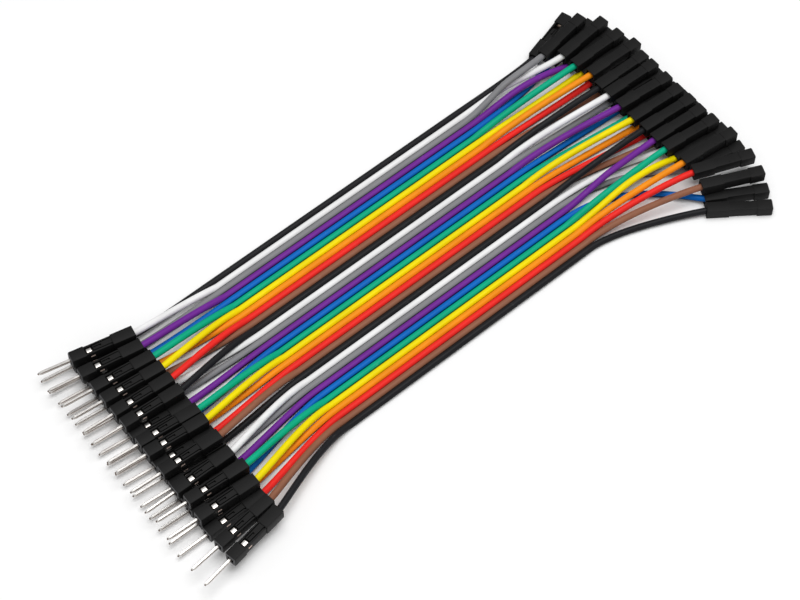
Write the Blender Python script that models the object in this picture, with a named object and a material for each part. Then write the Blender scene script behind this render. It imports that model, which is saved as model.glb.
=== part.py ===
"""Flat ribbon of breadboard jumper wires, pins on one end and sockets on the other.

Thirty-one wires lie side by side, bonded into one flat cable.  At both ends the wires come apart
and fan out, in two layers, into single-way housings of the 2.54 mm system.  The housings at -X
carry square pins, and those at +X are sockets.  +X runs along the wires and +Z is up.
"""
import math

import bmesh
import bpy
from mathutils import Matrix, Vector

MM = 0.001

# Cable
WIRE_COUNT = 31
WIRE_PITCH = 1.48 * MM
WIRE_DIAMETER = 1.38 * MM
WIRE_SIDES = 8
FLOOR_GAP = 0.02 * MM
BOND_START = -27.0 * MM
BOND_END = 38.0 * MM
TAIL_STATIONS = 5
TAIL_STRAIGHT_START = 0.33
TAIL_STRAIGHT_END = 0.12
UPPER_RISE_POWER = 0.6
LOWER_RISE_POWER = 2.0
CROSSING_STRAIGHT_START = 0.70
CROSSING_RISE_SHARE = 0.36

# Housings
HOUSING_LENGTH = 14.0 * MM
HOUSING_SIDE = 2.54 * MM
FRONT_BLOCK = 3.3 * MM
REAR_BLOCK = 4.8 * MM
SIDE_RECESS = 0.18 * MM
TOP_RECESS = 0.10 * MM
BOTTOM_RECESS = 0.04 * MM
MOUTH_CHAMFER = 0.20 * MM
WINDOW_LENGTH = 1.3 * MM
WINDOW_WIDTH = 1.1 * MM
WINDOW_DEPTH = 0.55 * MM
WIRE_CLEARANCE = 0.30 * MM
WIRE_HOLE_DEPTH = 1.8 * MM
WIRE_END_GAP = 0.6 * MM
LAYER_GAP = 0.30 * MM

# Contacts
PIN_SIDE = 0.64 * MM
PIN_EXPOSED = 7.1 * MM
PIN_TAPER = 1.0 * MM
PIN_TIP_SIDE = 0.28 * MM
PIN_MOUTH_SIDE = 1.5 * MM
PIN_MOUTH_DEPTH = 1.2 * MM
SOCKET_HOLE_SIDE = 1.0 * MM
SOCKET_HOLE_DEPTH = 6.5 * MM

# Rib that joins two hidden neighbours in the lower layer
RIB_LENGTH = 1.2 * MM
RIB_HEIGHT = 1.0 * MM
RIB_BITE = 0.25 * MM
JOINED_SOCKETS = ((15, 16), (18, 19), (20, 22))

# Rows of housings, from the +Y edge to the -Y edge: wire number, yaw in degrees, clear gap to the
# housing before it and advance of its rear end towards its mouth, both in millimetres.
MALE_TOP_START = (-47.8 * MM, 21.0 * MM)
MALE_TOP_ROW = (
    (2, -13, 0, 0), (4, -10, 0.95, -0.1), (6, -7, 0.9, -0.7), (7, -6, 0.65, -0.3),
    (9, -4, 0.7, -0.1), (11, -4, 0.8, -0.1), (16, -5.5, 3.2, -0.2), (17, -5.5, 0.3, -0.1),
    (20, -3.5, 2.1, -0.1), (22, -1, 1.9, 0.3), (26, -4, 1.45, -0.6), (27, -3, 1.5, 0.4),
    (30, 5.5, 2.55, 0.7), (31, 9, 0.3, 0.5))
MALE_LOW_START = (-47.3 * MM, 22.2 * MM)
MALE_LOW_ROW = (
    (1, -9, 0, 0), (3, -8, 0.3, -0.2), (5, -7, 0.3, -0.3), (8, -6, 0.3, -0.2), (10, -6, 0.3, -0.2),
    (12, -6, 0.3, -0.2), (13, -6, 0.3, -0.1), (14, -6, 0.3, -0.1), (15, -6, 0.3, -0.2),
    (18, -6, 0.3, -0.2), (19, -6, 0.3, -0.1), (21, -5, 0.3, -0.2), (23, -5, 0.3, 0),
    (24, -4, 0.3, 0), (25, -3, 0.3, 0), (28, -1, 0.3, 0.1), (29, 0, 0.3, 0.3))
FEMALE_TOP_START = (62.7 * MM, 20.0 * MM)
FEMALE_TOP_ROW = (
    (3, 9, 0, 0), (2, 5, 0.7, 2.7), (6, 0, 1.1, 0.2), (8, -1.5, 1.5, 1.0), (11, -1, 1.2, -1.0),
    (12, -2, 0.3, 0.1), (14, -5, 1.3, 0.1), (17, -3.5, 1.7, 0), (21, -4, 1.0, 0.3),
    (24, -4, 0.9, 0), (26, -6, 0.7, 0.5), (28, -6, 2.4, 1.0), (29, -22, 0.5, 0.6),
    (30, -25, 1.5, 0.4))
FEMALE_LOW_START = (62.5 * MM, 22.3 * MM)
FEMALE_LOW_ROW = (
    (1, 16, 0, 0), (5, 8, 0.95, 1.9), (4, 3, 0.95, 1.1), (7, 0, 0.8, 0.9), (9, -1, 0.75, -0.5),
    (10, -2, 0.75, 0.3), (13, -4, 0.75, 0.1), (15, -4, 0.3, 0.4), (16, -4, 0.3, -0.1),
    (18, -4, 0.3, 0.4), (19, -4, 0.3, 0.1), (20, -4, 0.3, -0.1), (22, -4, 0.3, 0.6),
    (27, -5, 0.35, 0.2), (23, -14, 1.2, 0.3), (25, -31, 5.6, 0.9), (31, -37, 0.3, 0))

# Heights, in millimetres, that a tail reaches early on where it passes over or under others.
FEMALE_CROSSING_HEIGHTS = {
    2: 2.5, 3: 4.7, 4: 3.0, 5: 0.76, 22: 0.76, 23: 0.76, 24: 3.6, 25: 0.76, 27: 3.5}

# Sockets whose window faces up.  The others lie on it.
SOCKETS_WINDOW_UP = (1,)

INSULATION_COLOUR = (0.75, 0.05, 0.04, 1.0)
INSULATION_ROUGHNESS = 0.40
NYLON_COLOUR = (0.018, 0.018, 0.019, 1.0)
NYLON_ROUGHNESS = 0.55


def make_material(name, colour, roughness, metallic=0.0):
    material = bpy.data.materials.new(name)
    material.use_nodes = True
    shader = material.node_tree.nodes["Principled BSDF"]
    shader.inputs["Base Color"].default_value = colour
    shader.inputs["Roughness"].default_value = roughness
    shader.inputs["Metallic"].default_value = metallic
    return material


def add_object(name, mesh, parent=None):
    node = bpy.data.objects.new(name, mesh)
    bpy.context.scene.collection.objects.link(node)
    node.parent = parent
    return node


def mesh_from(name, points, faces):
    mesh = bpy.data.meshes.new(name)
    shape = bmesh.new()
    verts = [shape.verts.new(point) for point in points]
    for face in faces:
        shape.faces.new([verts[index] for index in face])
    bmesh.ops.recalc_face_normals(shape, faces=shape.faces)
    shape.to_mesh(mesh)
    shape.free()
    return mesh


def boolean(mesh, tool_mesh, operation):
    """Cut or join with an exact Boolean and return the resulting mesh."""
    body = add_object("body", mesh)
    tool = add_object("tool", tool_mesh)
    tool.hide_render = True
    tool.display_type = "WIRE"
    modifier = body.modifiers.new("boolean", "BOOLEAN")
    modifier.operation = operation
    modifier.solver = "EXACT"
    modifier.object = tool
    evaluated = body.evaluated_get(bpy.context.evaluated_depsgraph_get())
    result = bpy.data.meshes.new_from_object(evaluated)
    bpy.data.objects.remove(body)
    bpy.data.objects.remove(tool)
    return result


def box_mesh(low, high):
    points = [(x, y, z) for x in (low[0], high[0]) for y in (low[1], high[1]) for z in (low[2], high[2])]
    faces = ((0, 1, 3, 2), (4, 6, 7, 5), (0, 4, 5, 1), (2, 3, 7, 6), (0, 2, 6, 4), (1, 5, 7, 3))
    return mesh_from("box", points, faces)


def square_loft(sections):
    """Skin square sections (place along X, half width, bottom, top) one after another."""
    points, faces = [], []
    for x, half, bottom, top in sections:
        points += [(x, -half, bottom), (x, half, bottom), (x, half, top), (x, -half, top)]
    for k in range(len(sections) - 1):
        for side in range(4):
            a, b = 4 * k + side, 4 * k + (side + 1) % 4
            faces.append((a, b, b + 4, a + 4))
    last = 4 * (len(sections) - 1)
    faces += [(0, 1, 2, 3), (last, last + 1, last + 2, last + 3)]
    return mesh_from("loft", points, faces)


def square(x, side):
    return (x, side / 2, -side / 2, side / 2)


def housing_outside():
    """Sections from the rear face to the chamfered mouth, waisted between the two end blocks."""
    half = HOUSING_SIDE / 2
    waist_end = HOUSING_LENGTH - FRONT_BLOCK
    waist = (half - SIDE_RECESS, -half + BOTTOM_RECESS, half - TOP_RECESS)
    return [
        square(0, HOUSING_SIDE),
        square(REAR_BLOCK, HOUSING_SIDE),
        (REAR_BLOCK, *waist),
        (waist_end, *waist),
        square(waist_end, HOUSING_SIDE),
        square(HOUSING_LENGTH - MOUTH_CHAMFER, HOUSING_SIDE),
        square(HOUSING_LENGTH, HOUSING_SIDE - 2 * MOUTH_CHAMFER),
    ]


def wire_hole():
    side = WIRE_DIAMETER + 2 * WIRE_CLEARANCE
    return [square(WIRE_HOLE_DEPTH, side), square(0, side)]


def pin_inside():
    root = HOUSING_LENGTH - PIN_MOUTH_DEPTH
    tip = HOUSING_LENGTH + PIN_EXPOSED
    return [
        square(HOUSING_LENGTH, PIN_MOUTH_SIDE),
        square(root, PIN_MOUTH_SIDE),
        square(root, PIN_SIDE),
        square(tip - PIN_TAPER, PIN_SIDE),
        square(tip, PIN_TIP_SIDE),
    ]


def socket_inside():
    return [
        square(HOUSING_LENGTH, SOCKET_HOLE_SIDE),
        square(HOUSING_LENGTH - SOCKET_HOLE_DEPTH, SOCKET_HOLE_SIDE),
    ]


def housing_mesh(inside):
    """One closed housing with its contact: rear hole, outside, then the mouth's inside."""
    body = square_loft(wire_hole() + housing_outside() + inside)
    front = HOUSING_LENGTH - FRONT_BLOCK
    low = (front - WINDOW_LENGTH, -WINDOW_WIDTH / 2, HOUSING_SIDE / 2 - WINDOW_DEPTH)
    high = (front, WINDOW_WIDTH / 2, HOUSING_SIDE)
    return boolean(body, box_mesh(low, high), "DIFFERENCE")


def row_places(start, row, mouth_sign, layer):
    """Rear point, height and yaw of each housing in a row, keyed by its wire's number.

    The row is a chain: each housing lies one side and one gap away from the one before it,
    square to their mean direction, so the fan spreads with its own housings' width.
    """
    places = {}
    point = Vector(start)
    height = HOUSING_SIDE / 2 + layer * (HOUSING_SIDE + LAYER_GAP)
    for index, (wire, yaw, gap, advance) in enumerate(row):
        if index:
            mean = math.radians((yaw + row[index - 1][1]) / 2)
            across = Vector((math.sin(mean), -math.cos(mean)))
            along = mouth_sign * Vector((math.cos(mean), math.sin(mean)))
            point = point + (HOUSING_SIDE + gap * MM) * across + advance * MM * along
        places[wire] = (point.copy(), height, math.radians(yaw))
    return places


def wire_y(wire):
    return WIRE_PITCH * ((WIRE_COUNT + 1) / 2 - wire)


def ease(share):
    share = min(1.0, max(0.0, share))
    return share * share * (3 - 2 * share)


def tail_height(share, end, crossing_height):
    """Height of a free tail: those of the upper layer climb soon, those of the lower layer late."""
    rest = WIRE_DIAMETER / 2 + FLOOR_GAP
    if crossing_height is None:
        power = UPPER_RISE_POWER if end > HOUSING_SIDE else LOWER_RISE_POWER
        return rest + (end - rest) * ease(share ** power)
    if share < CROSSING_RISE_SHARE:
        return rest + (crossing_height - rest) * ease(share / CROSSING_RISE_SHARE)
    later = (share - CROSSING_RISE_SHARE) / (1 - CROSSING_RISE_SHARE)
    return crossing_height + (end - crossing_height) * ease(later)


def tail_points(wire, place, start_x, mouth_sign, crossing_height):
    """Centre line of a free tail, from the end of the bond into the rear of its housing."""
    rear, height, yaw = place
    axis = mouth_sign * Vector((math.cos(yaw), math.sin(yaw)))
    run = abs(rear.x - start_x)
    straight = TAIL_STRAIGHT_START if crossing_height is None else CROSSING_STRAIGHT_START
    start = Vector((start_x, wire_y(wire)))
    end = rear + (WIRE_HOLE_DEPTH - WIRE_END_GAP) * axis
    first = start + Vector((mouth_sign * straight * run, 0))
    second = end - TAIL_STRAIGHT_END * run * axis
    points = []
    for station in range(TAIL_STATIONS + 1):
        t = station / TAIL_STATIONS
        u = 1 - t
        plan = u**3 * start + 3 * u * u * t * first + 3 * u * t * t * second + t**3 * end
        points.append(Vector((plan.x, plan.y, tail_height(t, height, crossing_height))))
    return points


def octagon(half_width):
    """Corners of a wire's section, flat at its sides: (across, up), from the lower left."""
    radius = WIRE_DIAMETER / 2
    corner = radius * math.tan(math.pi / WIRE_SIDES)
    return ((-half_width, -corner), (-corner, -radius), (corner, -radius), (half_width, -corner),
            (half_width, corner), (corner, radius), (-corner, radius), (-half_width, corner))


def ribbon_mesh(male_places, female_places):
    """The bonded flat, and at each end of it a free tail for every wire, as one skin."""
    points, faces = [], []

    def add(point):
        points.append(point)
        return len(points) - 1

    def split_rings(x):
        """Sections of all wires at the end of the bond: neighbours share their side corners."""
        rings = []
        shared = None
        centre_z = WIRE_DIAMETER / 2 + FLOOR_GAP
        for wire in range(1, WIRE_COUNT + 1):
            corners = octagon(WIRE_PITCH / 2)
            ring = [None] * WIRE_SIDES
            if shared:
                ring[3], ring[4] = shared
            for k, (across, up) in enumerate(corners):
                if ring[k] is None:
                    ring[k] = add((x, wire_y(wire) + across, centre_z + up))
            shared = (ring[0], ring[7])
            rings.append(ring)
        return rings

    def skin(ring, following, sides):
        for k in sides:
            after = (k + 1) % WIRE_SIDES
            faces.append((ring[k], ring[after], following[after], following[k]))

    male_rings = split_rings(BOND_START)
    female_rings = split_rings(BOND_END)
    left_side, right_side = 7, 3
    for index, (ring, following) in enumerate(zip(male_rings, female_rings)):
        sides = [k for k in range(WIRE_SIDES) if k not in (left_side, right_side)]
        if index == 0:
            sides.append(right_side)
        if index == WIRE_COUNT - 1:
            sides.append(left_side)
        skin(ring, following, sides)

    ends = ((male_rings, male_places, BOND_START, -1, {}),
            (female_rings, female_places, BOND_END, 1, FEMALE_CROSSING_HEIGHTS))
    for rings, places, start_x, mouth_sign, crossing in ends:
        for wire in range(1, WIRE_COUNT + 1):
            crossing_height = crossing[wire] * MM if wire in crossing else None
            line = tail_points(wire, places[wire], start_x, mouth_sign, crossing_height)
            ring = rings[wire - 1]
            for station in range(1, len(line)):
                before = line[station - 1]
                after = line[min(station + 1, len(line) - 1)]
                along = (after - before) * mouth_sign
                across = Vector((-along.y, along.x, 0)).normalized()
                up = along.cross(across).normalized()
                following = [add(line[station] + a * across + b * up) for a, b in octagon(WIRE_DIAMETER / 2)]
                skin(ring, following, range(WIRE_SIDES))
                ring = following
            faces.append(tuple(ring))
    return mesh_from("ribbon_cable", points, faces)


def place_housing(node, place, mouth_sign, roll=0.0):
    rear, height, yaw = place
    turn = yaw if mouth_sign > 0 else yaw + math.pi
    node.location = (rear.x, rear.y, height)
    node.rotation_euler = (roll, 0, turn)


def joined_sockets_mesh(socket, places, pair):
    """Two neighbours of the lower layer as one body, held together by a rib between them."""
    frames = []
    for wire in pair:
        rear, height, yaw = places[wire]
        turn = Matrix.Rotation(yaw, 4, "Z") @ Matrix.Rotation(math.pi, 4, "X")
        frames.append(Matrix.Translation((rear.x, rear.y, height)) @ turn)
    away = frames[0].inverted() @ frames[1]
    second = socket.copy()
    second.transform(away)
    reach = abs(away.translation.y)
    side = math.copysign(1, away.translation.y)
    near = side * (HOUSING_SIDE / 2 - RIB_BITE)
    far = side * (reach - HOUSING_SIDE / 2 + RIB_BITE)
    middle = REAR_BLOCK / 2 + away.translation.x / 2
    low = (middle - RIB_LENGTH / 2, min(near, far), -RIB_HEIGHT / 2)
    high = (middle + RIB_LENGTH / 2, max(near, far), RIB_HEIGHT / 2)
    body = boolean(socket.copy(), box_mesh(low, high), "UNION")
    return boolean(body, second, "UNION")


def lowest_and_middle(nodes):
    """Middle of the nodes' box in plan, and its lowest height."""
    bpy.context.view_layer.update()
    corners = [node.matrix_world @ vert.co for node in nodes for vert in node.data.vertices]
    middle_x = (min(c.x for c in corners) + max(c.x for c in corners)) / 2
    middle_y = (min(c.y for c in corners) + max(c.y for c in corners)) / 2
    return Vector((middle_x, middle_y, min(c.z for c in corners)))


def main():
    for old in list(bpy.data.objects):
        bpy.data.objects.remove(old)

    origin = bpy.data.objects.new("origin", None)
    bpy.context.scene.collection.objects.link(origin)

    male_places = row_places(MALE_TOP_START, MALE_TOP_ROW, -1, 1)
    male_places.update(row_places(MALE_LOW_START, MALE_LOW_ROW, -1, 0))
    female_places = row_places(FEMALE_TOP_START, FEMALE_TOP_ROW, 1, 1)
    female_places.update(row_places(FEMALE_LOW_START, FEMALE_LOW_ROW, 1, 0))

    plug = housing_mesh(pin_inside())
    socket = housing_mesh(socket_inside())
    joined = {pair[0]: pair for pair in JOINED_SOCKETS}
    joined_away = [pair[1] for pair in JOINED_SOCKETS]

    housings = []
    for wire in range(1, WIRE_COUNT + 1):
        node = add_object(f"male_plug_{wire:02d}", plug.copy(), origin)
        place_housing(node, male_places[wire], -1)
        housings.append(node)

        if wire in joined_away:
            continue
        roll = 0.0 if wire in SOCKETS_WINDOW_UP else math.pi
        if wire in joined:
            first, second = joined[wire]
            mesh = joined_sockets_mesh(socket, female_places, joined[wire])
            node = add_object(f"female_socket_{first:02d}_{second:02d}", mesh, origin)
        else:
            node = add_object(f"female_socket_{wire:02d}", socket.copy(), origin)
        place_housing(node, female_places[wire], 1, roll)
        housings.append(node)

    for node in housings:
        node.data.materials.clear()
        node.data.materials.append(make_material(node.name, NYLON_COLOUR, NYLON_ROUGHNESS))

    cable = add_object("ribbon_cable", ribbon_mesh(male_places, female_places), origin)
    cable.data.materials.append(make_material("ribbon_cable", INSULATION_COLOUR, INSULATION_ROUGHNESS))

    origin.location = -lowest_and_middle(housings)


main()
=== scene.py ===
# %% [markdown]
# # A ribbon of breadboard jumper wires
#
# Thirty-one thin wires, bonded side by side, come apart at both ends and fan out into small black
# housings. One end has square pins, the other has sockets. The solid model is loaded first: it fixes
# every size and place, and the pieces made below are its finished surfaces.

# %% Load the solid model
import math

import bmesh
import bpy
from mathutils import Matrix, Vector


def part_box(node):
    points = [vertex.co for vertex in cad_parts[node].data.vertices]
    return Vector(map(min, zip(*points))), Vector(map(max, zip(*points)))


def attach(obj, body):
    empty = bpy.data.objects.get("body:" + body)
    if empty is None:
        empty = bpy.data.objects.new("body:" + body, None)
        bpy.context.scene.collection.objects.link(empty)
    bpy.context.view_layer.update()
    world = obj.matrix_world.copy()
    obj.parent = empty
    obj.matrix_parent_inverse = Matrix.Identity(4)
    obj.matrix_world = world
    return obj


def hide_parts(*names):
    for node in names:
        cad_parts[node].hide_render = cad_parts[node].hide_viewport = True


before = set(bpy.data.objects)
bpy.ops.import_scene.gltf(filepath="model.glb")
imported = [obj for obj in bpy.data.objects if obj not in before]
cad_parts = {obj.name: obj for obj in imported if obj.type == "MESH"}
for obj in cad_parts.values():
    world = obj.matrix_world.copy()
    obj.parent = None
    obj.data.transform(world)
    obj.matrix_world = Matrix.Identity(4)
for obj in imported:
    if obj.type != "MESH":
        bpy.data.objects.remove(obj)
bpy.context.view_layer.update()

# %% [markdown]
# ## The sizes
#
# A finished piece fits its solid only if both are worked out from the same numbers, so the sizes of the
# solid model are written here once more. Lengths are in metres, as everywhere in Blender, and MM keeps
# them readable.

# %% Sizes of the cable and the housings
MM = 0.001

WIRE_COUNT = 31
WIRE_PITCH = 1.48 * MM
WIRE_DIAMETER = 1.44 * MM
FLOOR_GAP = 0.02 * MM
BOND_START = -27.0 * MM
BOND_END = 38.0 * MM
TAIL_STRAIGHT_START = 0.33
TAIL_STRAIGHT_END = 0.12
UPPER_RISE_POWER = 0.6
LOWER_RISE_POWER = 2.0
CROSSING_STRAIGHT_START = 0.70
CROSSING_RISE_SHARE = 0.36

HOUSING_LENGTH = 14.0 * MM
HOUSING_SIDE = 2.54 * MM
FRONT_BLOCK = 3.3 * MM
REAR_BLOCK = 4.8 * MM
SIDE_RECESS = 0.18 * MM
TOP_RECESS = 0.10 * MM
BOTTOM_RECESS = 0.04 * MM
LAYER_GAP = 0.30 * MM
WIRE_HOLE_DEPTH = 1.8 * MM
WIRE_END_GAP = 0.6 * MM
JOINED_SOCKETS = ((15, 16), (18, 19), (20, 22))
SOCKETS_WINDOW_UP = (1,)

# %% [markdown]
# ## Where the housings lie
#
# Each end is two layers of housings. A layer is a chain: every housing lies beside the one before it, at
# a small gap and turned a little further, as fingers of a fan do. The rows list the wire, the turn in
# degrees, the gap and how far the rear end stands forward, both in millimetres.

# %% Rows of housings
MALE_TOP_START = (-47.8 * MM, 21.0 * MM)
MALE_TOP_ROW = (
    (2, -13, 0, 0), (4, -10, 0.95, -0.1), (6, -7, 0.9, -0.7), (7, -6, 0.65, -0.3),
    (9, -4, 0.7, -0.1), (11, -4, 0.8, -0.1), (16, -5.5, 3.2, -0.2), (17, -5.5, 0.3, -0.1),
    (20, -3.5, 2.1, -0.1), (22, -1, 1.9, 0.3), (26, -4, 1.45, -0.6), (27, -3, 1.5, 0.4),
    (30, 5.5, 2.55, 0.7), (31, 9, 0.3, 0.5))
MALE_LOW_START = (-47.3 * MM, 22.2 * MM)
MALE_LOW_ROW = (
    (1, -9, 0, 0), (3, -8, 0.3, -0.2), (5, -7, 0.3, -0.3), (8, -6, 0.3, -0.2), (10, -6, 0.3, -0.2),
    (12, -6, 0.3, -0.2), (13, -6, 0.3, -0.1), (14, -6, 0.3, -0.1), (15, -6, 0.3, -0.2),
    (18, -6, 0.3, -0.2), (19, -6, 0.3, -0.1), (21, -5, 0.3, -0.2), (23, -5, 0.3, 0),
    (24, -4, 0.3, 0), (25, -3, 0.3, 0), (28, -1, 0.3, 0.1), (29, 0, 0.3, 0.3))
FEMALE_TOP_START = (62.7 * MM, 20.0 * MM)
FEMALE_TOP_ROW = (
    (3, 9, 0, 0), (2, 5, 0.7, 2.7), (6, 0, 1.1, 0.2), (8, -1.5, 1.5, 1.0), (11, -1, 1.2, -1.0),
    (12, -2, 0.3, 0.1), (14, -5, 1.3, 0.1), (17, -3.5, 1.7, 0), (21, -4, 1.0, 0.3),
    (24, -4, 0.9, 0), (26, -6, 0.7, 0.5), (28, -6, 2.4, 1.0), (29, -22, 0.5, 0.6),
    (30, -25, 1.5, 0.4))
FEMALE_LOW_START = (62.5 * MM, 22.3 * MM)
FEMALE_LOW_ROW = (
    (1, 16, 0, 0), (5, 8, 0.95, 1.9), (4, 3, 0.95, 1.1), (7, 0, 0.8, 0.9), (9, -1, 0.75, -0.5),
    (10, -2, 0.75, 0.3), (13, -4, 0.75, 0.1), (15, -4, 0.3, 0.4), (16, -4, 0.3, -0.1),
    (18, -4, 0.3, 0.4), (19, -4, 0.3, 0.1), (20, -4, 0.3, -0.1), (22, -4, 0.3, 0.6),
    (27, -5, 0.35, 0.2), (23, -14, 1.2, 0.3), (25, -31, 5.6, 0.9), (31, -37, 0.3, 0))
FEMALE_CROSSING_HEIGHTS = {
    2: 2.5, 3: 4.7, 4: 3.0, 5: 0.76, 22: 0.76, 23: 0.76, 24: 3.6, 25: 0.76, 27: 3.5}


def row_places(start, row, mouth_sign, layer):
    """Rear point, height and turn of each housing in a row, keyed by its wire's number."""
    places = {}
    point = Vector(start)
    height = HOUSING_SIDE / 2 + layer * (HOUSING_SIDE + LAYER_GAP)
    for index, (wire, yaw, gap, advance) in enumerate(row):
        if index:
            mean = math.radians((yaw + row[index - 1][1]) / 2)
            across = Vector((math.sin(mean), -math.cos(mean)))
            along = mouth_sign * Vector((math.cos(mean), math.sin(mean)))
            point = point + (HOUSING_SIDE + gap * MM) * across + advance * MM * along
        places[wire] = (point.copy(), height, math.radians(yaw))
    return places


male_places = row_places(MALE_TOP_START, MALE_TOP_ROW, -1, 1)
male_places.update(row_places(MALE_LOW_START, MALE_LOW_ROW, -1, 0))
female_places = row_places(FEMALE_TOP_START, FEMALE_TOP_ROW, 1, 1)
female_places.update(row_places(FEMALE_LOW_START, FEMALE_LOW_ROW, 1, 0))
print(len(male_places), "pin housings and", len(female_places), "socket housings")

# %% [markdown]
# The rows are written about the middle of the ribbon, and the solid model stands on the middle of its
# own box. Plug 29 points straight along X, so its box gives its rear point exactly. The step between
# that and the row's own number carries every other point into the model's frame.

# %% Step from the ribbon's middle to the model's frame
STRAIGHT_PLUG = 29
plug_low, plug_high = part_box(f"male_plug_{STRAIGHT_PLUG:02d}")
straight_rear = male_places[STRAIGHT_PLUG][0]
shift = Vector((plug_high[0] - straight_rear.x, (plug_low[1] + plug_high[1]) / 2 - straight_rear.y, 0))
print("shift:", [round(1000 * value, 3) for value in shift], "mm")

# %% [markdown]
# ## The camera
#
# The photograph was taken from half a metre away with a long lens, about 57 degrees above the table,
# and the ribbon runs away from the lower left. The camera is made before any piece, so that each can be
# judged in the frame where it will be seen.

# %% Camera
VIEW_TARGET = Vector((0, -5.83, 0)) * MM
VIEW_OFFSET = Vector((-172.4, -202.2, 417.1)) * MM
LENS_MM = 108
SENSOR_MM = 36

camera_data = bpy.data.cameras.new("camera")
camera_data.lens = LENS_MM
camera_data.sensor_width = SENSOR_MM
camera_data.clip_start = 0.02
camera_data.clip_end = 20
camera = bpy.data.objects.new("camera", camera_data)
bpy.context.scene.collection.objects.link(camera)
camera.location = VIEW_TARGET + VIEW_OFFSET + shift
camera.rotation_euler = (-VIEW_OFFSET).to_track_quat("-Z", "Y").to_euler()
bpy.context.scene.camera = camera
print("camera height:", round(camera.location.z, 3), "m")

# %% [markdown]
# ## Lofted skins
#
# Wires, housings and pins are all made the same way: a closed ring of points is repeated along the
# piece with other sizes, and the rings are joined with faces. Blender's curve bevel could make a round
# wire, but a bonded wire isn't round: it has a web on both sides. With rings in code, one short function
# serves all the pieces.

# %% Loft
SHARP_ANGLE = math.radians(32)


def loft(name, rings):
    """Join rings of equally many points and close both ends."""
    shape = bmesh.new()
    rows = [[shape.verts.new(point) for point in ring] for ring in rings]
    count = len(rings[0])
    for row, following in zip(rows, rows[1:]):
        for k in range(count):
            after = (k + 1) % count
            shape.faces.new((row[k], row[after], following[after], following[k]))
    shape.faces.new(rows[0])
    shape.faces.new(rows[-1])
    bmesh.ops.recalc_face_normals(shape, faces=shape.faces)
    mesh = bpy.data.meshes.new(name)
    shape.to_mesh(mesh)
    shape.free()
    return mesh


def soften(mesh):
    mesh.shade_smooth()
    mesh.set_sharp_from_angle(angle=SHARP_ANGLE)
    return mesh


def add_piece(name, mesh, finish, nodes, place=None):
    """Put a finished piece in the scene, on the one rigid body, in place of the solids that it dresses."""
    piece = bpy.data.objects.new(name, mesh)
    bpy.context.scene.collection.objects.link(piece)
    if place is not None:
        piece.matrix_world = place
    if not mesh.materials:
        mesh.materials.append(finish)
    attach(piece, "root")
    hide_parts(*nodes)
    return piece


# %% [markdown]
# ## Shader maths
#
# A finish is a formula over the surface. Wired by hand, each plus and times is a node and two links, so
# a small class wraps a socket and lets Python's own operators add the Math nodes. Vectors and colours
# take Vector Math or Mix nodes, because a Math node would turn a colour grey.

# %% A socket that can be calculated with
class Value:
    def __init__(self, finish, socket):
        self.finish = finish
        self.socket = socket

    def is_vector(self):
        return self.socket.type in ("VECTOR", "RGBA")

    def math(self, operation, *terms):
        vector = any(t.is_vector() for t in terms if isinstance(t, Value))
        kind = "ShaderNodeVectorMath" if vector else "ShaderNodeMath"
        return self.finish.node(kind, {"operation": operation}, dict(enumerate(terms)))

    def __add__(self, other):
        return self.math("ADD", self, other)

    def __radd__(self, other):
        return self.math("ADD", other, self)

    def __sub__(self, other):
        return self.math("SUBTRACT", self, other)

    def __rsub__(self, other):
        return self.math("SUBTRACT", other, self)

    def __mul__(self, other):
        return self.math("MULTIPLY", self, other)

    def __rmul__(self, other):
        return self.math("MULTIPLY", other, self)

    def __abs__(self):
        return self.math("ABSOLUTE", self)

    def at_least(self, other):
        return self.math("MAXIMUM", self, other)


class Finish:
    """A procedural material with one method for all its nodes."""

    def __init__(self, name, **constants):
        self.material = bpy.data.materials.new(name)
        self.material.use_nodes = True
        self.tree = self.material.node_tree
        self.shader = self.tree.nodes["Principled BSDF"]
        for socket, value in constants.items():
            self.shader.inputs[socket.replace("_", " ")].default_value = value

    def node(self, kind, settings=None, sockets=None, output=0):
        """Add a node: its settings first, then the values or links of its sockets."""
        new = self.tree.nodes.new(kind)
        for setting, value in (settings or {}).items():
            setattr(new, setting, value)
        for socket, value in (sockets or {}).items():
            self.plug(new.inputs[socket], value)
        return Value(self, new.outputs[output])

    def plug(self, socket, value):
        if isinstance(value, Value):
            self.tree.links.new(value.socket, socket)
        elif isinstance(value, (int, float)) and socket.type in ("VECTOR", "RGBA"):
            socket.default_value = [value] * len(socket.default_value)
        elif socket.type == "RGBA" and len(value) == 3:
            socket.default_value = (*value, 1)
        else:
            socket.default_value = value

    def drive(self, socket, value):
        self.plug(self.shader.inputs[socket], value)

    def place(self):
        """The point on the piece, in millimetres, in its own frame."""
        return self.node("ShaderNodeTexCoord", output="Object") * (1000, 1000, 1000)

    def parts(self, vector):
        split = self.node("ShaderNodeSeparateXYZ", sockets={"Vector": vector})
        outputs = split.socket.node.outputs
        return [Value(self, output) for output in outputs]

    def noise(self, point, scale, detail=2, roughness=0.5):
        return self.node("ShaderNodeTexNoise", sockets={
            "Vector": point, "Scale": scale, "Detail": detail, "Roughness": roughness})

    def smooth(self, value, low, high):
        """0 below low, 1 above high, and a smooth step between."""
        return self.node("ShaderNodeMapRange", {"interpolation_type": "SMOOTHSTEP"}, {
            "Value": value, "From Min": low, "From Max": high, "To Min": 0, "To Max": 1})

    def mix(self, factor, first, second):
        first_colour, second_colour, result = 6, 7, 2
        return self.node("ShaderNodeMix", {"data_type": "RGBA"}, {
            0: factor, first_colour: first, second_colour: second}, output=result)

    def bump(self, height, depth_mm):
        self.drive("Normal", self.node("ShaderNodeBump", sockets={
            "Height": height, "Distance": depth_mm * MM, "Strength": 1.0}))


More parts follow.
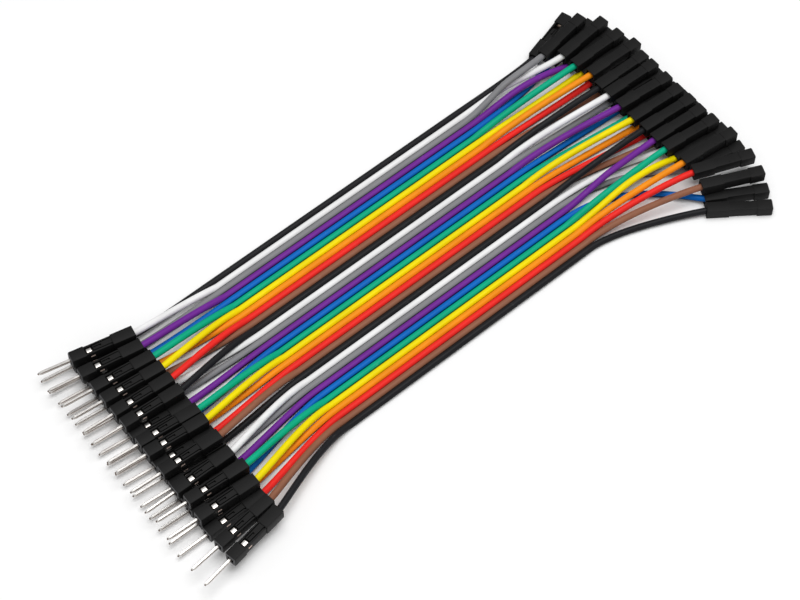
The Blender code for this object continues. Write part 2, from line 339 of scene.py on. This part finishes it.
# %% [markdown]
# ## Ten colours of PVC
#
# The insulation is soft PVC, extruded round the copper. It has a satin skin with fine lines along the
# wire, slightly uneven colour, and pale scuffs where wires have rubbed. Shade is painted low down, in the
# grooves between the wires: the colour darkens below a height in mm near the wires' middle. The painted
# shade reaches higher on the cool dyes than on the bright warm ones. One function makes the finish for
# any colour, so that all ten age alike and differ only in what a dye changes.

# %% Insulation
INSULATION = {
    "black": (0.016, 0.016, 0.018),
    "white": (0.88, 0.88, 0.88),
    "grey": (0.245, 0.245, 0.255),
    "purple": (0.172, 0.026, 0.305),
    "blue": (0.004, 0.140, 0.530),
    "green": (0.003, 0.410, 0.232),
    "yellow": (0.920, 0.760, 0.002),
    "orange": (0.930, 0.295, 0.010),
    "red": (0.890, 0.028, 0.022),
    "brown": (0.290, 0.120, 0.070),
}
# Painted shade in the grooves: the height in mm below which it begins, its softness and its darkness.
GROOVE_HEIGHT = 0.85
GROOVE_SOFTNESS = 0.30
GROOVE_SHADE = 0.15
GROOVE_EXTRA = {"grey": 0.05, "purple": 0.12, "blue": 0.10, "green": 0.12,
                "yellow": -0.08, "orange": -0.10, "red": -0.08}


def insulation_finish(name, colour):
    finish = Finish(f"insulation_{name}", Specular_IOR_Level=0.09)
    point = finish.place()
    lines = finish.noise(point * (0.12, 2.6, 2.6), 1.0, 2)
    clouds = finish.noise(point, 0.16, 3)
    grain = finish.noise(point, 3.5, 2)
    scuffs = finish.smooth(finish.noise(point * (0.5, 1.6, 1.6), 0.8, 4, 0.65), 0.62, 0.76)
    # Painted shade: below the groove height the colour darkens towards GROOVE_SHADE times the dye.
    groove = GROOVE_HEIGHT + GROOVE_EXTRA.get(name, 0)
    above_groove_shade = finish.smooth(finish.parts(point)[2], groove, groove + GROOVE_SOFTNESS)
    darker = [0.88 * c for c in colour]
    paler = [c + 0.10 * (0.9 - c) for c in colour]
    tone = finish.mix(finish.smooth(clouds * 0.55 + lines * 0.45, 0.34, 0.68), darker, colour)
    skin = finish.mix(scuffs * 0.45, tone, paler)
    finish.drive("Base Color", finish.mix(above_groove_shade, [GROOVE_SHADE * c for c in colour], skin))
    finish.drive("Roughness", 0.33 + lines * 0.10 + scuffs * 0.18)
    finish.bump(lines * 0.5 + grain * 0.3, 0.022)
    return finish.material


insulation = {name: insulation_finish(name, colour) for name, colour in INSULATION.items()}
print(len(insulation), "insulation finishes")

# %% [markdown]
# ## The wires
#
# Black comes first, and then the same ten colours three times. In the middle the wires are bonded: each
# has a thin web at both sides that meets its neighbour's, and a groove between the round tops. Past the
# bond the web dies out, and the round tail bends up or down to its housing. The tail's line in plan is a
# Bezier curve from the bond's direction to the housing's direction, which is how a springy wire bends.

# %% The line of a wire
COLOUR_ORDER = ("white", "grey", "purple", "blue", "green", "yellow", "orange", "red", "brown", "black")
TAIL_STATIONS = 22
BOND_STATIONS = 12


def wire_colour(wire):
    return COLOUR_ORDER[(wire - 2) % len(COLOUR_ORDER)]


def wire_y(wire):
    return WIRE_PITCH * ((WIRE_COUNT + 1) / 2 - wire)


def ease(share):
    share = min(1.0, max(0.0, share))
    return share * share * (3 - 2 * share)


def tail_height(share, end, crossing_height):
    """Height of a free tail: those of the upper layer climb soon, those of the lower layer late."""
    rest = WIRE_PITCH / 2 + FLOOR_GAP
    if crossing_height is None:
        power = UPPER_RISE_POWER if end > HOUSING_SIDE else LOWER_RISE_POWER
        return rest + (end - rest) * ease(share ** power)
    if share < CROSSING_RISE_SHARE:
        return rest + (crossing_height - rest) * ease(share / CROSSING_RISE_SHARE)
    later = (share - CROSSING_RISE_SHARE) / (1 - CROSSING_RISE_SHARE)
    return crossing_height + (end - crossing_height) * ease(later)


def tail_points(wire, place, start_x, mouth_sign, crossing):
    """Points from the end of the bond into the rear hole of the housing."""
    rear, height, yaw = place
    crossing_height = crossing[wire] * MM if wire in crossing else None
    straight = TAIL_STRAIGHT_START if crossing_height is None else CROSSING_STRAIGHT_START
    axis = mouth_sign * Vector((math.cos(yaw), math.sin(yaw)))
    run = abs(rear.x - start_x)
    start = Vector((start_x, wire_y(wire)))
    end = rear + (WIRE_HOLE_DEPTH - WIRE_END_GAP) * axis
    first = start + Vector((mouth_sign * straight * run, 0))
    second = end - TAIL_STRAIGHT_END * run * axis
    points = []
    for station in range(TAIL_STATIONS + 1):
        t = station / TAIL_STATIONS
        u = 1 - t
        plan = u**3 * start + 3 * u * u * t * first + 3 * u * t * t * second + t**3 * end
        points.append(Vector((plan.x, plan.y, tail_height(t, height, crossing_height))) + shift)
    return points


def wire_line(wire):
    male_tail = tail_points(wire, male_places[wire], BOND_START, -1, {})
    female_tail = tail_points(wire, female_places[wire], BOND_END, 1, FEMALE_CROSSING_HEIGHTS)
    bond = [male_tail[0].lerp(female_tail[0], k / BOND_STATIONS) for k in range(1, BOND_STATIONS)]
    return male_tail[::-1] + bond + female_tail


# %% Skin and place every wire
RING_SIDES = 20
WEB_REACH = WIRE_PITCH / 2
WEB_HALF_HEIGHT = 0.10 * MM
WEB_FADE = 2.2 * MM
WEB_SHARP_ANGLE = math.radians(60)


def wire_ring(centre, across, up, web):
    """Points round a wire. web is 1 in the bond, where its sides reach half-way to the neighbours."""
    ring = []
    for k in range(RING_SIDES):
        angle = 2 * math.pi * k / RING_SIDES
        a = WIRE_DIAMETER / 2 * math.cos(angle)
        b = WIRE_DIAMETER / 2 * math.sin(angle)
        if abs(b) < WEB_HALF_HEIGHT:
            a += web * (math.copysign(WEB_REACH, a) - a)
        ring.append(centre + a * across + b * up)
    return ring


def wire_mesh(wire, line):
    rings = []
    for index, centre in enumerate(line):
        along = (line[min(index + 1, len(line) - 1)] - line[max(index - 1, 0)]).normalized()
        across = Vector((-along.y, along.x, 0)).normalized()
        up = along.cross(across)
        outside = max(BOND_START + shift.x - centre.x, centre.x - BOND_END - shift.x, 0)
        rings.append(wire_ring(centre, across, up, 1 - ease(outside / WEB_FADE)))
    mesh = loft(f"wire_{wire:02d}", rings)
    mesh.shade_smooth()
    mesh.set_sharp_from_angle(angle=WEB_SHARP_ANGLE)
    return mesh


lengths = []
for wire in range(1, WIRE_COUNT + 1):
    line = wire_line(wire)
    length = sum((b - a).length for a, b in zip(line, line[1:]))
    colour = wire_colour(wire)
    piece = add_piece(f"wire_{wire:02d}_{colour}", wire_mesh(wire, line), insulation[colour],
                      ["ribbon_cable"])
    lengths.append(length)
print("wires from", round(1000 * min(lengths), 1), "to", round(1000 * max(lengths), 1), "mm long")

# %% [markdown]
# ## Black nylon
#
# The housings are moulded in black nylon: satin, with a fine grain from the mould and a little dust. A
# painted highlight makes the long edges slightly paler, and a brighter painted highlight lies on the rim
# of the mouth. Black plastic looks grey under a large soft light because its skin reflects that light, so
# the colour itself is darker than it seems in the photograph.

# %% Housing finish
nylon = Finish("housing_nylon", Specular_IOR_Level=0.13)
point = nylon.place()
x, y, z = nylon.parts(point)
grain = nylon.noise(point, 9.0, 3, 0.6)
clouds = nylon.noise(point, 0.45, 2)
rubbed = nylon.smooth(nylon.noise(point * (0.4, 2.5, 2.5), 1.4, 4, 0.7), 0.60, 0.74)
# Painted highlight: the long edges of the housing are drawn paler.
edge_highlight = nylon.smooth(abs(y), 1.17, 1.26) * nylon.smooth(abs(z), 1.17, 1.26)
tone = nylon.mix(clouds, (0.0068, 0.0068, 0.0071), (0.0112, 0.0110, 0.0108))
tone = nylon.mix(rubbed * 0.35, tone, (0.030, 0.029, 0.028))
tone = nylon.mix(edge_highlight * 0.6, tone, (0.035, 0.034, 0.033))
# Painted highlight on the rim of the mouth.
mouth_rim_highlight = nylon.smooth(x, 13.82, 13.92)
nylon.drive("Base Color", nylon.mix(mouth_rim_highlight, tone, (0.10, 0.10, 0.104)))
nylon.drive("Roughness", 0.42 + clouds * 0.12 + grain * 0.10 - rubbed * 0.08)
nylon.bump(grain * 0.6 + clouds * 0.4, 0.010)

# %% [markdown]
# ## Tinned contacts
#
# The contacts are stamped from phosphor bronze strip, tinned and folded. The flat faces are bright tin.
# Brown bronze shows as thin lines along each pin's corners, at its tip and round the flat in the window.
# The edges of the flat that show in the wall slots are warm pale bronze with a painted glint: they are
# drawn pale and without a mirror's gloss so that they don't turn black in their narrow slots. All places
# here are in millimetres from the rear.

# %% Contact finish
PLATE_MIDDLE_X = 9.865
PLATE_RIM_FROM = (0.44, 0.52)
WING_FROM_Y = (0.70, 0.72)
WING_END_X = (10.4, 10.5)
PIN_FROM_X = (13.6, 13.8)
PIN_TIP_FROM_X = (20.80, 20.95)

tin = Finish("contact_metal")
point = tin.place()
x, y, z = tin.parts(point)
streaks = tin.noise(point * (0.35, 5.0, 5.0), 1.0, 3)
patches = tin.noise(point, 0.9, 3)
on_pin = tin.smooth(x, *PIN_FROM_X)
side_face = tin.smooth(abs(y), 0.20, 0.25)
corner = side_face * tin.smooth(abs(z), 0.17, 0.24)
bare = (side_face * 0.35).at_least(corner).at_least(tin.smooth(x, *PIN_TIP_FROM_X)) * on_pin
bright = tin.mix(patches, (0.66, 0.645, 0.62), (0.80, 0.785, 0.76))
plate_ends = tin.smooth(abs(x - PLATE_MIDDLE_X), *PLATE_RIM_FROM)
rim = tin.smooth(abs(y), 0.36, 0.44).at_least(plate_ends) * (1 - on_pin)
tone = tin.mix(rim * 0.7, bright, (0.42, 0.33, 0.27))
tone = tin.mix(bare * (0.80 + streaks * 0.20), tone, (0.15, 0.085, 0.055))
# The wings in the wall slots: bronze, painted pale and matte as a glint.
wing_bronze_and_glint = tin.smooth(abs(y), *WING_FROM_Y) * (1 - tin.smooth(x, *WING_END_X))
tin.drive("Base Color", tin.mix(wing_bronze_and_glint, tone, (0.92, 0.72, 0.62)))
tin.drive("Metallic", 1 - wing_bronze_and_glint)
tin.drive("Roughness", 0.24 + patches * 0.12 + bare * 0.14 + wing_bronze_and_glint * 0.2)
tin.bump(streaks * 0.7 + patches * 0.3, 0.003)

# %% [markdown]
# ## The housing
#
# The housing is a square tube with two full blocks and a waist between them. On its window side a tongue
# latches the contact: two long slits free it from the walls, and a hooked slit thins it. The outside is
# one loft of rounded squares, and Boolean cutters then take out the window, the slits, the mouth and the
# hole for the wire. It is moulded once and used for both ends, so it is made once per kind here too.

# %% Rounded square sections
CORNER_POINTS = 4
EDGE = 0.06 * MM


def rounded_square(x, half, bottom, top, radius):
    """A section across X, anticlockwise from its upper right corner."""
    ring = []
    corners = ((half, top, 0), (-half, top, 1), (-half, bottom, 2), (half, bottom, 3))
    for across, up, quarter in corners:
        centre_y = across - math.copysign(radius, across)
        centre_z = up - math.copysign(radius, up)
        for k in range(CORNER_POINTS):
            angle = math.pi / 2 * (quarter + k / (CORNER_POINTS - 1))
            ring.append((x, centre_y + radius * math.cos(angle), centre_z + radius * math.sin(angle)))
    return ring


def square_ring(x, side, radius=0.08 * MM):
    return rounded_square(x, side / 2, -side / 2, side / 2, radius)


# %% Cutting and joining
def block(low, high):
    half = (high[1] - low[1]) / 2
    middle = (high[1] + low[1]) / 2
    rings = []
    for x in (low[0], high[0]):
        rings.append([(x, middle - half, low[2]), (x, middle + half, low[2]),
                      (x, middle + half, high[2]), (x, middle - half, high[2])])
    return loft("block", rings)


def cut(mesh, cutters):
    """Take each cutter out of the mesh with an exact Boolean."""
    body = bpy.data.objects.new("body", mesh)
    bpy.context.scene.collection.objects.link(body)
    tools = []
    for cutter in cutters:
        tool = bpy.data.objects.new("tool", cutter)
        bpy.context.scene.collection.objects.link(tool)
        modifier = body.modifiers.new("cut", "BOOLEAN")
        modifier.operation = "DIFFERENCE"
        modifier.solver = "EXACT"
        modifier.object = tool
        tools.append(tool)
    result = bpy.data.meshes.new_from_object(body.evaluated_get(bpy.context.evaluated_depsgraph_get()))
    for spent in [body] + tools:
        bpy.data.objects.remove(spent)
    return result


def joined(name, meshes):
    """Several closed shapes as one mesh."""
    shape = bmesh.new()
    for mesh in meshes:
        shape.from_mesh(mesh)
    mesh = bpy.data.meshes.new(name)
    shape.to_mesh(mesh)
    shape.free()
    return mesh


# %% The housing's outside
HALF_SIDE = HOUSING_SIDE / 2
WAIST_TOP = HALF_SIDE - TOP_RECESS
WAIST_END = HOUSING_LENGTH - FRONT_BLOCK
MOUTH_CHAMFER = 0.20 * MM
BLOCK_RADIUS = 0.13 * MM


def full_section(x, inset=0.0):
    return rounded_square(x, HALF_SIDE - inset, -HALF_SIDE + inset, HALF_SIDE - inset, BLOCK_RADIUS)


def waist_section(x):
    return rounded_square(x, HALF_SIDE - SIDE_RECESS, -HALF_SIDE + BOTTOM_RECESS, WAIST_TOP, 0.10 * MM)


def housing_outside():
    return loft("housing", [
        full_section(0, EDGE), full_section(EDGE), full_section(REAR_BLOCK - EDGE / 2),
        full_section(REAR_BLOCK, EDGE / 2), waist_section(REAR_BLOCK), waist_section(WAIST_END),
        full_section(WAIST_END, EDGE / 2), full_section(WAIST_END + EDGE / 2),
        full_section(HOUSING_LENGTH - MOUTH_CHAMFER), full_section(HOUSING_LENGTH, MOUTH_CHAMFER)])


# %% [markdown]
# The cutters are placed from the photograph's close views: the window lies right behind the front block,
# the tongue's slits run from it to the rear block, and the hook starts behind the window, runs back and
# turns to one side. A small notch ends the slit on that side. At the pin end a slot in each wall shows
# the edge of the contact's flat. On the plain side only a fine parting line and the dot of an ejector
# pin show.

# %% Cutters of the window side
WINDOW = (8.95 * MM, 0.68 * MM)
SLIT_DEPTH = 0.55 * MM
SLIT_WIDTH = 0.20 * MM
TONGUE_HALF = 0.66 * MM


def window_cutters():
    above = HALF_SIDE + MM
    back, half_width = WINDOW
    floor_z = 0.25 * MM
    cutters = [block((back, -half_width, floor_z), (WAIST_END, half_width, above))]
    for side in (-1, 1):
        y = side * TONGUE_HALF
        cutters.append(block((5.0 * MM, y - SLIT_WIDTH / 2, WAIST_TOP - SLIT_DEPTH),
                             (back + 0.1 * MM, y + SLIT_WIDTH / 2, above)))
    hook_y, turn_y = -0.27 * MM, 0.18 * MM
    hook_start, hook_end, hook_width = 8.85 * MM, 7.10 * MM, 0.22 * MM
    hook_low = (hook_end, hook_y, WAIST_TOP - SLIT_DEPTH)
    cutters.append(block(hook_low, (hook_start, hook_y + hook_width, above)))
    cutters.append(block(hook_low, (hook_end + 0.34 * MM, turn_y, above)))
    cutters.append(block((4.86 * MM, 0.60 * MM, 0.45 * MM), (5.20 * MM, 0.94 * MM, above)))
    cutters.append(block((4.86 * MM, -0.72 * MM, WAIST_TOP - 0.12 * MM), (5.00 * MM, 0.72 * MM, above)))
    return cutters


def tongue_ramp():
    """The tongue dips a little towards the window, so a thin wedge comes off its top."""
    y = TONGUE_HALF - SLIT_WIDTH / 2 - 0.01 * MM
    dip = 0.11 * MM
    above = HALF_SIDE + MM
    rings = [[(x, -y, low), (x, y, low), (x, y, above), (x, -y, above)]
             for x, low in ((5.6 * MM, WAIST_TOP - 0.001 * MM), (WINDOW[0] + 0.05 * MM, WAIST_TOP - dip))]
    return loft("ramp", rings)


# %% Slots in the walls of the pin housing
SIDE_SLOT_FROM = 0.76 * MM
SIDE_SLOT_X = (8.90 * MM, 9.92 * MM)
SIDE_SLOT_Z = (-0.32 * MM, 0.20 * MM)


def wall_slots():
    slots = []
    for side in (-1, 1):
        inner, outer = sorted((side * SIDE_SLOT_FROM, side * (HALF_SIDE + MM)))
        slots.append(block((SIDE_SLOT_X[0], inner, SIDE_SLOT_Z[0]), (SIDE_SLOT_X[1], outer, SIDE_SLOT_Z[1])))
    return slots


# %% Cutters of the plain side, the wire hole and the mouths
def plain_side_cutters():
    below = -HALF_SIDE - MM
    line_half = 0.035 * MM
    parting = block((WAIST_END - line_half, -HALF_SIDE - MM, below),
                    (WAIST_END + line_half, 0.55 * MM, -HALF_SIDE + BOTTOM_RECESS + 0.06 * MM))
    dot = [[(8.1 * MM + 0.14 * MM * math.cos(a), 0.62 * MM + 0.14 * MM * math.sin(a), z)
            for a in (2 * math.pi * k / 12 for k in range(12))] for z in (below, -HALF_SIDE + 0.12 * MM)]
    return [parting, loft("dot", dot)]


def wire_hole_cutter():
    side = 1.86 * MM
    return loft("hole", [square_ring(-0.1 * MM, side + 0.5 * MM, 0.35 * MM),
                         square_ring(0.14 * MM, side, 0.35 * MM),
                         square_ring(WIRE_HOLE_DEPTH, side, 0.35 * MM)])


def pin_mouth_cutter():
    side = 1.5 * MM
    return loft("mouth", [square_ring(HOUSING_LENGTH + 0.1 * MM, side + 0.44 * MM),
                          square_ring(HOUSING_LENGTH - 0.12 * MM, side),
                          square_ring(HOUSING_LENGTH - 1.2 * MM, side)])


def socket_mouth_cutter():
    side = 1.05 * MM
    cavity = 1.56 * MM
    return loft("mouth", [square_ring(HOUSING_LENGTH + 0.1 * MM, side + 0.74 * MM),
                          square_ring(HOUSING_LENGTH - 0.28 * MM, side),
                          square_ring(HOUSING_LENGTH - 0.62 * MM, side),
                          square_ring(HOUSING_LENGTH - 0.62 * MM, cavity),
                          square_ring(HOUSING_LENGTH - 6.5 * MM, cavity)])


def housing_mesh(name, own_cutters):
    cutters = window_cutters() + [tongue_ramp()] + plain_side_cutters()
    mesh = soften(cut(housing_outside(), cutters + [wire_hole_cutter()] + own_cutters))
    mesh.name = name
    mesh.materials.clear()
    mesh.materials.append(nylon.material)
    return mesh


pin_housing = housing_mesh("pin_housing", [pin_mouth_cutter()] + wall_slots())
socket_housing = housing_mesh("socket_housing", [socket_mouth_cutter()])
print("housing faces:", len(pin_housing.polygons), len(socket_housing.polygons))

# %% [markdown]
# ## The contacts
#
# Through the window shows the flat of the contact that the tongue holds. The pin is strip folded double,
# and its tip is pressed to a blunt taper. The socket contact is a box with a spring leaf, just behind the
# mouth.

# %% Pin contact
PIN_SIDE = 0.64 * MM
PIN_EXPOSED = 7.1 * MM
PIN_TAPER = 1.0 * MM
PIN_TIP_SIDE = 0.28 * MM


def pin_ring(x, side):
    """A square with soft corners."""
    h = side / 2
    soft = 0.24 * h
    right = [(h, -h + soft), (h, h - soft), (h - soft, h), (soft - h, h)]
    left = [(-a, -b) for a, b in right]
    return [(x, a, b) for a, b in right + left]


def window_plate():
    """The contact's flat behind the window, with softened edges."""
    low, high = 0.30 * MM, WAIST_TOP - 0.30 * MM
    rings = []
    for x, inset in ((9.30, 0.05), (9.35, 0.0), (10.38, 0.0), (10.43, 0.05)):
        rings.append(rounded_square(x * MM, (0.48 - inset) * MM, low, high - inset * MM, 0.05 * MM))
    return loft("plate", rings)


WING_REACH = 1.06 * MM
WING_X = (8.94 * MM, 9.86 * MM)
WING_Z = (-0.27 * MM, 0.15 * MM)


def plate_wings():
    """The folded edges of the flat, which show in the slots of the walls."""
    wings = []
    for side in (-1, 1):
        inner, outer = sorted((side * SIDE_SLOT_FROM, side * WING_REACH))
        wings.append(block((WING_X[0], inner, WING_Z[0]), (WING_X[1], outer, WING_Z[1])))
    return wings


def pin_contact():
    tip = HOUSING_LENGTH + PIN_EXPOSED
    shoulder = HOUSING_LENGTH - 1.15 * MM
    pin = loft("pin", [
        pin_ring(shoulder, PIN_SIDE), pin_ring(tip - PIN_TAPER, PIN_SIDE),
        pin_ring(tip - PIN_TAPER * 0.5, PIN_SIDE * 0.80),
        pin_ring(tip - PIN_TAPER * 0.12, PIN_TIP_SIDE * 1.15), pin_ring(tip, PIN_TIP_SIDE * 0.6)])
    throat = loft("throat", [square_ring(shoulder, 1.16 * MM, 0.15 * MM),
                             square_ring(shoulder + 0.40 * MM, 1.16 * MM, 0.15 * MM),
                             square_ring(shoulder + 0.62 * MM, 0.80 * MM, 0.15 * MM)])
    return joined("pin_contact", [pin, throat, window_plate()] + plate_wings())


# %% Socket contact
def socket_contact():
    front = HOUSING_LENGTH - 0.70 * MM
    rear = HOUSING_LENGTH - 3.2 * MM
    outer, inner = 1.48 * MM, 1.16 * MM
    box = loft("box", [square_ring(rear, inner), square_ring(rear, outer), square_ring(front, outer),
                       square_ring(front, inner), square_ring(front - 0.2 * MM, inner),
                       square_ring(rear + 0.2 * MM, inner)])
    leaf_line = ((0.15, 0.50), (0.6, 0.42), (1.2, 0.22), (1.8, 0.18), (2.4, 0.30), (2.9, 0.40))
    leaf = loft("leaf", [[(front - a * MM, s * 0.36 * MM, b * MM + t * 0.06 * MM)
                          for s, t in ((-1, 0), (1, 0), (1, 1), (-1, 1))] for a, b in leaf_line])
    return joined("socket_contact", [box, leaf])


contact_meshes = {}
for kind, build in (("pin", pin_contact), ("socket", socket_contact)):
    mesh = soften(build())
    mesh.materials.clear()
    mesh.materials.append(tin.material)
    contact_meshes[kind] = mesh
print("contact faces:", {kind: len(mesh.polygons) for kind, mesh in contact_meshes.items()})

# %% [markdown]
# ## Placing the housings
#
# Every housing and its contact stand where their solid does. A pin housing looks towards -X, so it is
# turned half round. A socket lies on its window, apart from the first wire's, which shows it.

# %% Place housings and contacts
def housing_place(place, mouth_sign, window_up):
    rear, height, yaw = place
    turn = yaw if mouth_sign > 0 else yaw + math.pi
    place_at = Matrix.Translation(Vector((rear.x, rear.y, height)) + shift)
    roll = Matrix() if window_up else Matrix.Rotation(math.pi, 4, "X")
    return place_at @ Matrix.Rotation(turn, 4, "Z") @ roll


def socket_node(wire):
    for pair in JOINED_SOCKETS:
        if wire in pair:
            return "female_socket_{:02d}_{:02d}".format(*pair)
    return f"female_socket_{wire:02d}"


for wire in range(1, WIRE_COUNT + 1):
    plug_place = housing_place(male_places[wire], -1, True)
    plug_node = [f"male_plug_{wire:02d}"]
    add_piece(f"pin_housing_{wire:02d}", pin_housing, nylon.material, plug_node, plug_place)
    add_piece(f"pin_contact_{wire:02d}", contact_meshes["pin"], tin.material, plug_node,
              plug_place)
    socket_place = housing_place(female_places[wire], 1, wire in SOCKETS_WINDOW_UP)
    node = [socket_node(wire)]
    add_piece(f"socket_housing_{wire:02d}", socket_housing, nylon.material, node,
              socket_place)
    add_piece(f"socket_contact_{wire:02d}", contact_meshes["socket"], tin.material, node,
              socket_place)

# %% [markdown]
# ## Table and light
#
# The ribbon lies on a white table under one large soft lamp and a weak one from the pin side, with an
# even pale surround. A little glow lifts the table to white for the camera and for mirror rays alone,
# through Light Path, so no extra light falls on the wires. It still takes their soft shadow.

# %% Floor
FLOOR_HALF = 1.5
floor_mesh = bpy.data.meshes.new("floor")
floor_mesh.from_pydata([(-FLOOR_HALF, -FLOOR_HALF, 0), (FLOOR_HALF, -FLOOR_HALF, 0),
                        (FLOOR_HALF, FLOOR_HALF, 0), (-FLOOR_HALF, FLOOR_HALF, 0)], [], [(0, 1, 2, 3)])
floor = bpy.data.objects.new("floor", floor_mesh)
floor.location.z = -0.00002
bpy.context.scene.collection.objects.link(floor)

table = Finish("table", Roughness=0.9, Specular_IOR_Level=0.0, Base_Color=(0.93, 0.93, 0.93, 1))
path = table.node("ShaderNodeLightPath")
path_outputs = path.socket.node.outputs
seen = Value(table, path_outputs["Is Camera Ray"])
for kind in ("Is Glossy Ray", "Is Transmission Ray"):
    seen = seen.at_least(Value(table, path_outputs[kind]))
glow = table.node("ShaderNodeEmission", sockets={"Color": (1, 1, 1), "Strength": 0.03})
together = table.node("ShaderNodeAddShader", sockets={0: Value(table, table.shader.outputs[0]), 1: glow})
shown = table.node("ShaderNodeMixShader", sockets={0: seen, 1: Value(table, table.shader.outputs[0]),
                                                   2: together})
table.plug(table.tree.nodes["Material Output"].inputs["Surface"], shown)
floor_mesh.materials.append(table.material)

# %% World and lamps
world = bpy.data.worlds.new("world")
bpy.context.scene.world = world
world.use_nodes = True
background = world.node_tree.nodes["Background"]
background.inputs["Color"].default_value = (1, 1, 1, 1)
background.inputs["Strength"].default_value = 0.32


def add_lamp(name, energy, size, offset):
    """A square lamp that looks at the middle of the ribbon from offset."""
    data = bpy.data.lights.new(name, "AREA")
    data.energy = energy
    data.size = size
    lamp = bpy.data.objects.new(name, data)
    bpy.context.scene.collection.objects.link(lamp)
    lamp.location = Vector(offset)
    lamp.rotation_euler = (-Vector(offset)).to_track_quat("-Z", "Y").to_euler()
    return lamp


add_lamp("softbox", 6.8, 0.70, (0.08, -0.04, 0.88))
add_lamp("fill", 0.5, 0.5, (-0.55, -0.35, 0.55))

bpy.context.scene.view_settings.view_transform = "Standard"
